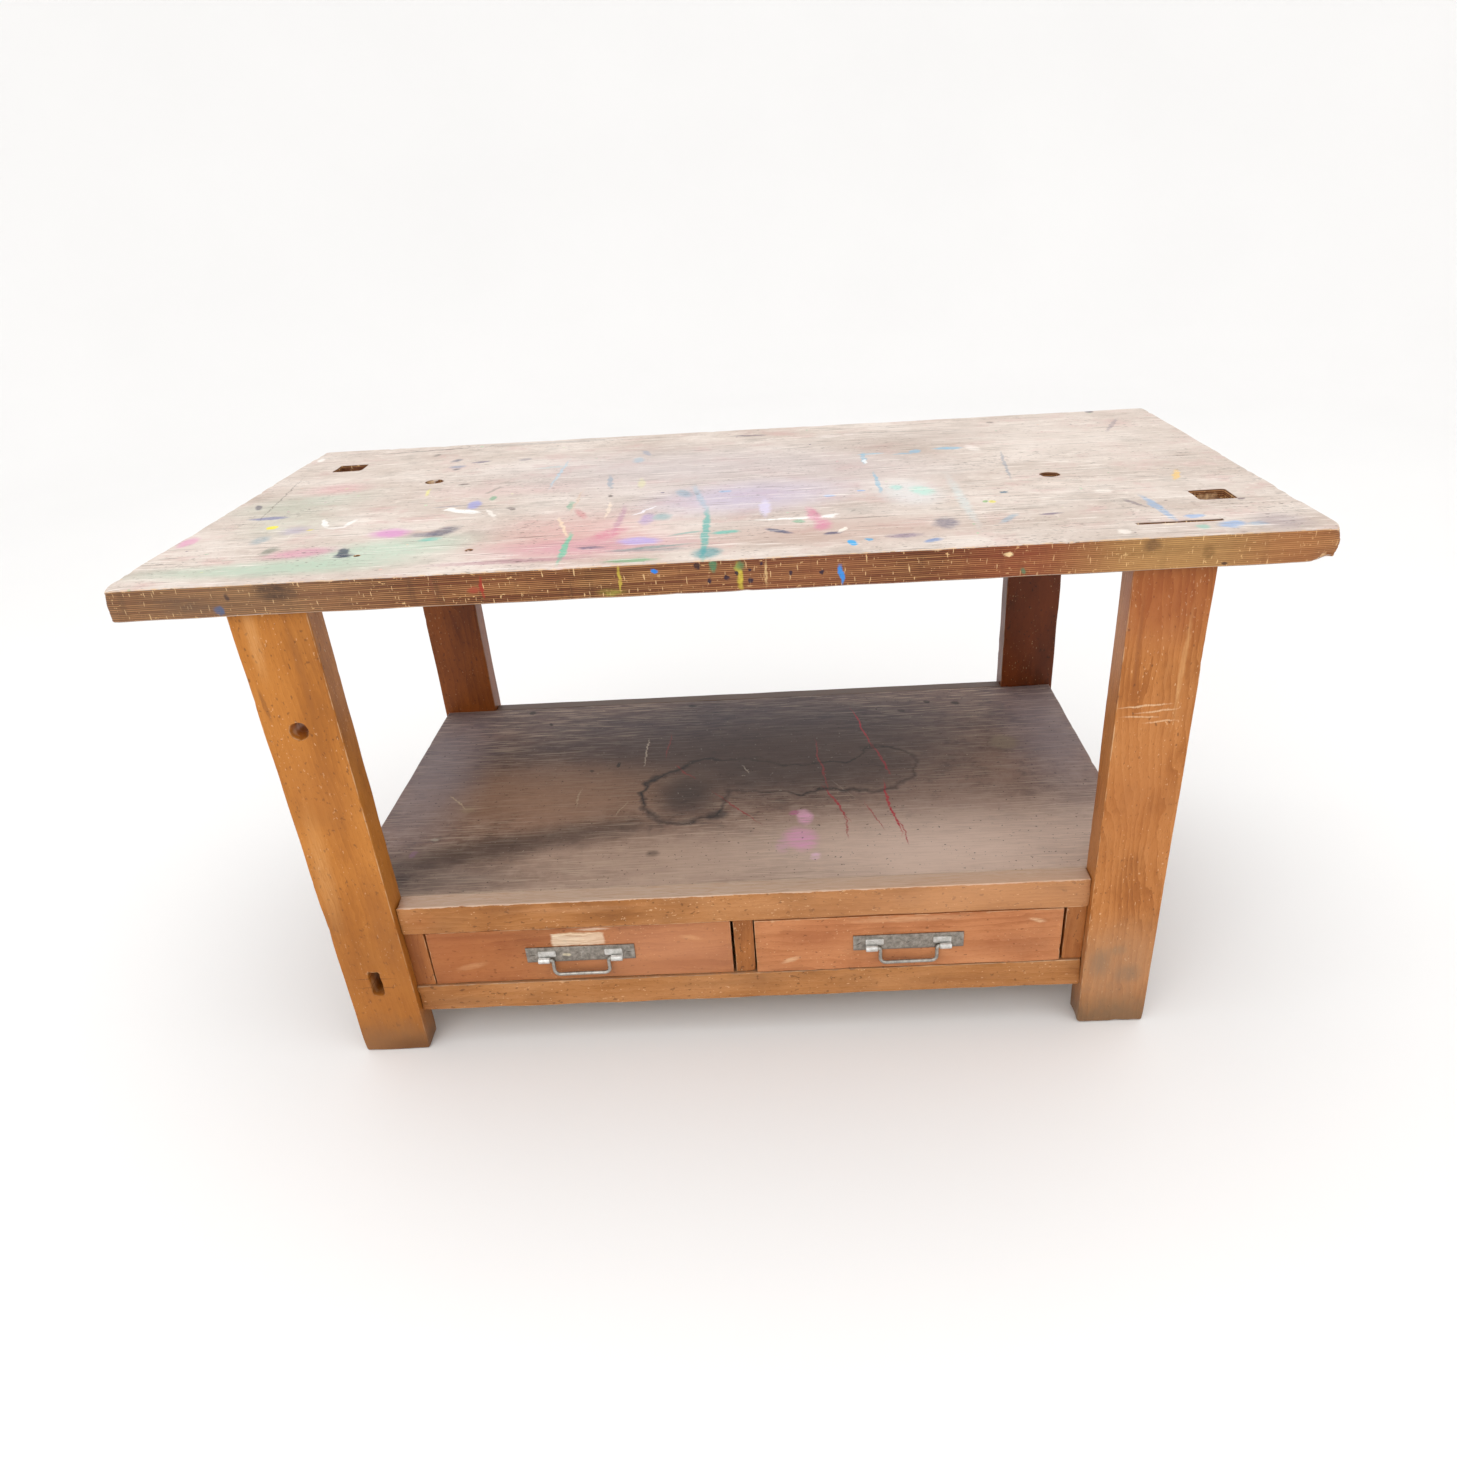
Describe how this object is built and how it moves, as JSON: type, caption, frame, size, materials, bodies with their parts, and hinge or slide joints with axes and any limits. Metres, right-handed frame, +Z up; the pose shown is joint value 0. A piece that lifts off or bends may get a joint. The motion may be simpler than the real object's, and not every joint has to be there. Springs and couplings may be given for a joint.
{
  "type": "workbench with drawers",
  "caption": "Thick plywood bench top on four plank legs, with an open shelf and side-by-side drawers with bail handles below, and holes for a vice, holdfasts and planing stops.",
  "frame": {"origin": "on the floor, under the middle of the worktop", "axes": "+X along the bench to the right as seen from the drawers, +Y away from the drawer side, +Z up"},
  "size_m": [1.5, 0.764, 0.78],
  "materials": {
    "worktop_plywood": "washed, scratched and paint stained plywood, plies showing at the edges",
    "leg_pine": "aged orange varnished pine",
    "bearer_pine": "dark aged pine",
    "rail_pine": "aged varnished pine with paint flecks",
    "drawer_front_pine": "aged reddish varnished pine",
    "shelf_board": "worn grey-brown board",
    "side_board_pine": "dark aged pine",
    "inner_softwood": "unfinished softwood",
    "drawer_plywood": "unfinished plywood",
    "handle_steel": "dull zinc plated sheet",
    "bail_steel": "worn bright wire",
    "bolt_steel": "dull aged steel"
  },
  "bodies": {
    "frame": {"worktop": "worktop_plywood", "front_left_leg": "leg_pine", "front_right_leg": "leg_pine", "rear_left_leg": "leg_pine", "rear_right_leg": "leg_pine", "left_bearer": "bearer_pine", "right_bearer": "bearer_pine", "front_top_rail": "rail_pine", "front_bottom_rail": "rail_pine", "rear_top_rail": "rail_pine", "rear_bottom_rail": "rail_pine", "left_stile": "rail_pine", "centre_stile": "rail_pine", "right_stile": "rail_pine", "shelf_panel": "shelf_board", "left_side_board": "side_board_pine", "right_side_board": "side_board_pine", "rear_shelf_cleat": "inner_softwood", "front_shelf_cleat": "inner_softwood", "drawer_divider": "inner_softwood", "drawer_stops": "inner_softwood", "left_outer_runner": "inner_softwood", "left_outer_kicker": "inner_softwood", "left_inner_runner": "inner_softwood", "left_inner_kicker": "inner_softwood", "right_outer_runner": "inner_softwood", "right_outer_kicker": "inner_softwood", "right_inner_runner": "inner_softwood", "right_inner_kicker": "inner_softwood", "left_drawer_guide": "inner_softwood", "right_drawer_guide": "inner_softwood", "rear_panel": "drawer_plywood", "slab_bolts": "bolt_steel", "slab_bolt_washers": "bolt_steel"},
    "left_drawer": {"left_drawer_front": "drawer_front_pine", "left_drawer_left_side": "inner_softwood", "left_drawer_right_side": "inner_softwood", "left_drawer_back": "inner_softwood", "left_drawer_bottom": "drawer_plywood", "left_handle_plate": "handle_steel", "left_handle_left_knuckle": "handle_steel", "left_handle_right_knuckle": "handle_steel", "left_handle_screws": "handle_steel"},
    "left_bail": {"left_handle_bail": "bail_steel"},
    "right_drawer": {"right_drawer_front": "drawer_front_pine", "right_drawer_left_side": "inner_softwood", "right_drawer_right_side": "inner_softwood", "right_drawer_back": "inner_softwood", "right_drawer_bottom": "drawer_plywood", "right_handle_plate": "handle_steel", "right_handle_left_knuckle": "handle_steel", "right_handle_right_knuckle": "handle_steel", "right_handle_screws": "handle_steel"},
    "right_bail": {"right_handle_bail": "bail_steel"}
  },
  "joints": [
    {"name": "left_drawer_slide", "type": "slide", "parent": "frame", "child": "left_drawer", "axis": [0, -1, 0], "range_m": [0, 0.43]},
    {"name": "left_bail_hinge", "type": "hinge", "parent": "left_drawer", "child": "left_bail", "pos_m": [-0.2497, -0.35533, 0.161], "axis": [-1, 0, 0], "range_deg": [0, 90]},
    {"name": "right_drawer_slide", "type": "slide", "parent": "frame", "child": "right_drawer", "axis": [0, -1, 0], "range_m": [0, 0.43]},
    {"name": "right_bail_hinge", "type": "hinge", "parent": "right_drawer", "child": "right_bail", "pos_m": [0.2473, -0.35883, 0.161], "axis": [-1, 0, 0], "range_deg": [0, 90]}
  ]
}
